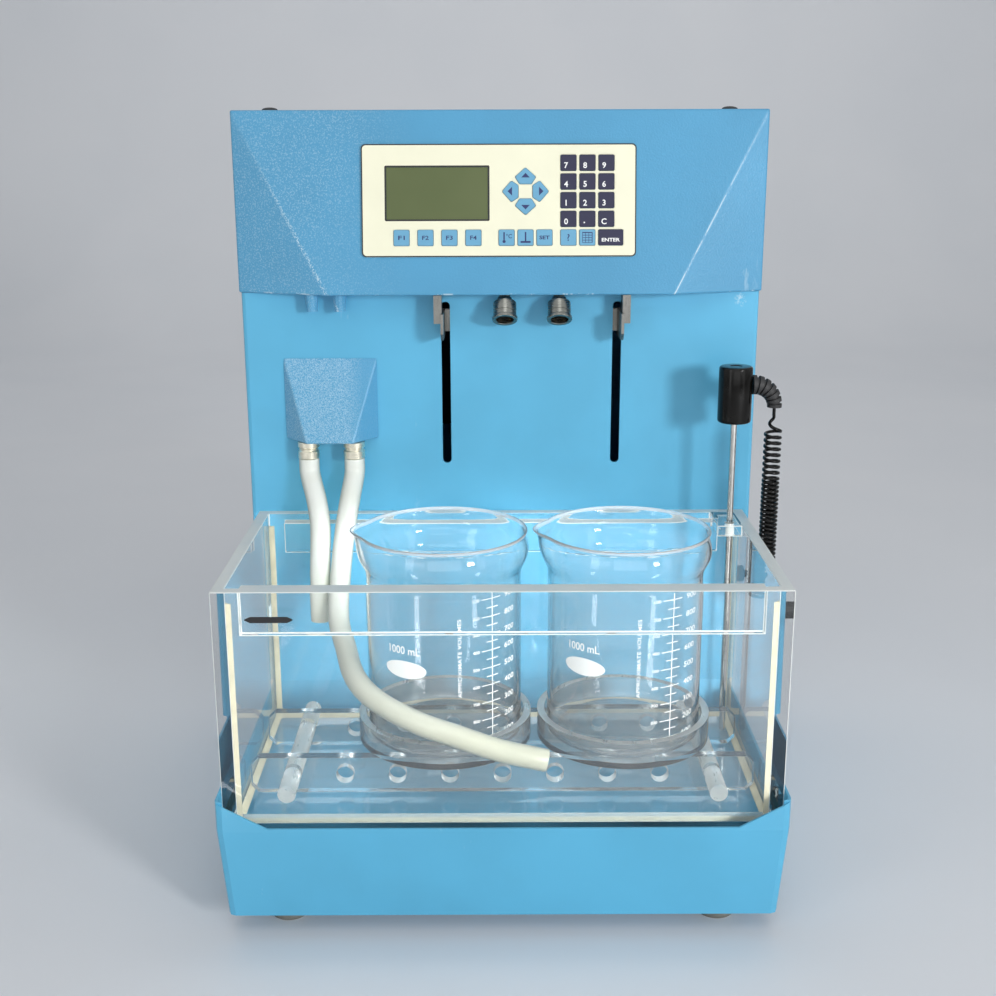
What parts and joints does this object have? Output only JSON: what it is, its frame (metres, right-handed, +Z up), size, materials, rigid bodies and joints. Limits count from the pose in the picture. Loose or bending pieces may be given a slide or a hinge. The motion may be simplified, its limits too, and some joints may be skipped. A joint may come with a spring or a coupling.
{
  "type": "tablet disintegration tester",
  "caption": "Tablet disintegration tester: clear water bath with glass beakers in a sheet metal base, under a tower with basket hangers, a keypad head, hoses and a temperature probe.",
  "frame": {"origin": "under the middle of the machine's footprint, on the bench, measured without the hoses and the probe's cord", "axes": "+X to the right seen from the keypad, +Y to the rear, +Z up"},
  "size_m": [0.4061, 0.3816, 0.5262],
  "materials": {
    "base_blue": "satin",
    "tower_blue": "satin",
    "hood_blue": "fine orange peel",
    "rubber": "matte",
    "foot": "matte",
    "steel": "brushed",
    "nickel": "satin nickel",
    "cream": "matte film",
    "display": "gloss",
    "navy": "matte film",
    "light_blue": "matte film",
    "clear_sheet": "clear polished",
    "silicone": "satin",
    "glass": "clear",
    "hose": "translucent",
    "black": "satin",
    "motor": "satin black",
    "zinc": "zinc plated"
  },
  "bodies": {
    "machine": {"base_tray": "base_blue", "foot_front_left": "foot", "foot_front_right": "foot", "foot_rear_left": "foot", "foot_rear_right": "foot", "tower_shell": "tower_blue", "rear_cover": "base_blue", "head_hood": "hood_blue", "bumper_left": "rubber", "bumper_right": "rubber", "circulator_hood": "hood_blue", "hose_fittings": "nickel", "mains_inlet": "black", "keypad_overlay": "cream", "display_window": "display", "sensor_socket_left": "nickel", "sensor_socket_right": "nickel", "water_tank": "clear_sheet", "tank_seal": "silicone", "beaker_rack": "clear_sheet", "suction_hose": "hose", "return_hose": "hose", "lift_frame": "zinc", "lift_motor": "motor", "probe_cord": "rubber", "cord_plug": "black"},
    "beaker_left": {"beaker_left": "glass"},
    "beaker_right": {"beaker_right": "glass"},
    "probe": {"probe_handle": "black", "probe_rod": "steel", "probe_boot": "rubber"},
    "lift": {"lift_carriage": "steel"},
    "screw": {"drive_screw": "steel"},
    "rocker": {"power_switch": "black"},
    "key_f1": {"key_f1": "light_blue"},
    "key_f2": {"key_f2": "light_blue"},
    "key_f3": {"key_f3": "light_blue"},
    "key_f4": {"key_f4": "light_blue"},
    "key_temperature": {"key_temperature": "light_blue"},
    "key_lift": {"key_lift": "light_blue"},
    "key_set": {"key_set": "light_blue"},
    "key_help": {"key_help": "light_blue"},
    "key_menu": {"key_menu": "light_blue"},
    "key_up": {"key_up": "light_blue"},
    "key_down": {"key_down": "light_blue"},
    "key_left": {"key_left": "light_blue"},
    "key_right": {"key_right": "light_blue"},
    "key_0": {"key_0": "navy"},
    "key_1": {"key_1": "navy"},
    "key_2": {"key_2": "navy"},
    "key_3": {"key_3": "navy"},
    "key_4": {"key_4": "navy"},
    "key_5": {"key_5": "navy"},
    "key_6": {"key_6": "navy"},
    "key_7": {"key_7": "navy"},
    "key_8": {"key_8": "navy"},
    "key_9": {"key_9": "navy"},
    "key_point": {"key_point": "navy"},
    "key_clear": {"key_clear": "navy"},
    "key_enter": {"key_enter": "navy"}
  },
  "joints": [
    {"name": "lift_slide", "type": "slide", "parent": "machine", "child": "lift", "axis": [0, 0, -1], "range_m": [0, 0.09]},
    {"name": "screw_spin", "type": "hinge", "parent": "machine", "child": "screw", "pos_m": [0.02235, 0.04011, 0.256], "axis": [0, 0, 1], "range_deg": [0, 1621]},
    {"name": "beaker_left_lift", "type": "slide", "parent": "machine", "child": "beaker_left", "axis": [0, 0, 1], "range_m": [0, 0.16]},
    {"name": "beaker_right_lift", "type": "slide", "parent": "machine", "child": "beaker_right", "axis": [0, 0, 1], "range_m": [0, 0.16]},
    {"name": "probe_lift", "type": "slide", "parent": "machine", "child": "probe", "axis": [0, 0, 1], "range_m": [0, 0.15], "deforming": ["probe_cord"]},
    {"name": "rocker_tilt", "type": "hinge", "parent": "machine", "child": "rocker", "pos_m": [-0.118, 0.18621, 0.1725], "axis": [1, 0, 0], "range_deg": [-20, 0]},
    {"name": "key_f1_press", "type": "slide", "parent": "machine", "child": "key_f1", "axis": [0, 0.9843, -0.1764], "range_m": [0, 0.0005], "stiffness_N_per_m": 400},
    {"name": "key_f2_press", "type": "slide", "parent": "machine", "child": "key_f2", "axis": [0, 0.9843, -0.1764], "range_m": [0, 0.0005], "stiffness_N_per_m": 400},
    {"name": "key_f3_press", "type": "slide", "parent": "machine", "child": "key_f3", "axis": [0, 0.9843, -0.1764], "range_m": [0, 0.0005], "stiffness_N_per_m": 400},
    {"name": "key_f4_press", "type": "slide", "parent": "machine", "child": "key_f4", "axis": [0, 0.9843, -0.1764], "range_m": [0, 0.0005], "stiffness_N_per_m": 400},
    {"name": "key_temperature_press", "type": "slide", "parent": "machine", "child": "key_temperature", "axis": [0, 0.9843, -0.1764], "range_m": [0, 0.0005], "stiffness_N_per_m": 400},
    {"name": "key_lift_press", "type": "slide", "parent": "machine", "child": "key_lift", "axis": [0, 0.9843, -0.1764], "range_m": [0, 0.0005], "stiffness_N_per_m": 400},
    {"name": "key_set_press", "type": "slide", "parent": "machine", "child": "key_set", "axis": [0, 0.9843, -0.1764], "range_m": [0, 0.0005], "stiffness_N_per_m": 400},
    {"name": "key_help_press", "type": "slide", "parent": "machine", "child": "key_help", "axis": [0, 0.9843, -0.1764], "range_m": [0, 0.0005], "stiffness_N_per_m": 400},
    {"name": "key_menu_press", "type": "slide", "parent": "machine", "child": "key_menu", "axis": [0, 0.9843, -0.1764], "range_m": [0, 0.0005], "stiffness_N_per_m": 400},
    {"name": "key_up_press", "type": "slide", "parent": "machine", "child": "key_up", "axis": [0, 0.9843, -0.1764], "range_m": [0, 0.0005], "stiffness_N_per_m": 400},
    {"name": "key_down_press", "type": "slide", "parent": "machine", "child": "key_down", "axis": [0, 0.9843, -0.1764], "range_m": [0, 0.0005], "stiffness_N_per_m": 400},
    {"name": "key_left_press", "type": "slide", "parent": "machine", "child": "key_left", "axis": [0, 0.9843, -0.1764], "range_m": [0, 0.0005], "stiffness_N_per_m": 400},
    {"name": "key_right_press", "type": "slide", "parent": "machine", "child": "key_right", "axis": [0, 0.9843, -0.1764], "range_m": [0, 0.0005], "stiffness_N_per_m": 400},
    {"name": "key_0_press", "type": "slide", "parent": "machine", "child": "key_0", "axis": [0, 0.9843, -0.1764], "range_m": [0, 0.0005], "stiffness_N_per_m": 400},
    {"name": "key_1_press", "type": "slide", "parent": "machine", "child": "key_1", "axis": [0, 0.9843, -0.1764], "range_m": [0, 0.0005], "stiffness_N_per_m": 400},
    {"name": "key_2_press", "type": "slide", "parent": "machine", "child": "key_2", "axis": [0, 0.9843, -0.1764], "range_m": [0, 0.0005], "stiffness_N_per_m": 400},
    {"name": "key_3_press", "type": "slide", "parent": "machine", "child": "key_3", "axis": [0, 0.9843, -0.1764], "range_m": [0, 0.0005], "stiffness_N_per_m": 400},
    {"name": "key_4_press", "type": "slide", "parent": "machine", "child": "key_4", "axis": [0, 0.9843, -0.1764], "range_m": [0, 0.0005], "stiffness_N_per_m": 400},
    {"name": "key_5_press", "type": "slide", "parent": "machine", "child": "key_5", "axis": [0, 0.9843, -0.1764], "range_m": [0, 0.0005], "stiffness_N_per_m": 400},
    {"name": "key_6_press", "type": "slide", "parent": "machine", "child": "key_6", "axis": [0, 0.9843, -0.1764], "range_m": [0, 0.0005], "stiffness_N_per_m": 400},
    {"name": "key_7_press", "type": "slide", "parent": "machine", "child": "key_7", "axis": [0, 0.9843, -0.1764], "range_m": [0, 0.0005], "stiffness_N_per_m": 400},
    {"name": "key_8_press", "type": "slide", "parent": "machine", "child": "key_8", "axis": [0, 0.9843, -0.1764], "range_m": [0, 0.0005], "stiffness_N_per_m": 400},
    {"name": "key_9_press", "type": "slide", "parent": "machine", "child": "key_9", "axis": [0, 0.9843, -0.1764], "range_m": [0, 0.0005], "stiffness_N_per_m": 400},
    {"name": "key_point_press", "type": "slide", "parent": "machine", "child": "key_point", "axis": [0, 0.9843, -0.1764], "range_m": [0, 0.0005], "stiffness_N_per_m": 400},
    {"name": "key_clear_press", "type": "slide", "parent": "machine", "child": "key_clear", "axis": [0, 0.9843, -0.1764], "range_m": [0, 0.0005], "stiffness_N_per_m": 400},
    {"name": "key_enter_press", "type": "slide", "parent": "machine", "child": "key_enter", "axis": [0, 0.9843, -0.1764], "range_m": [0, 0.0005], "stiffness_N_per_m": 400}
  ],
  "couplings": [
    {"joint": "screw_spin", "follows": "lift_slide", "rad_per_m": 314.16}
  ]
}
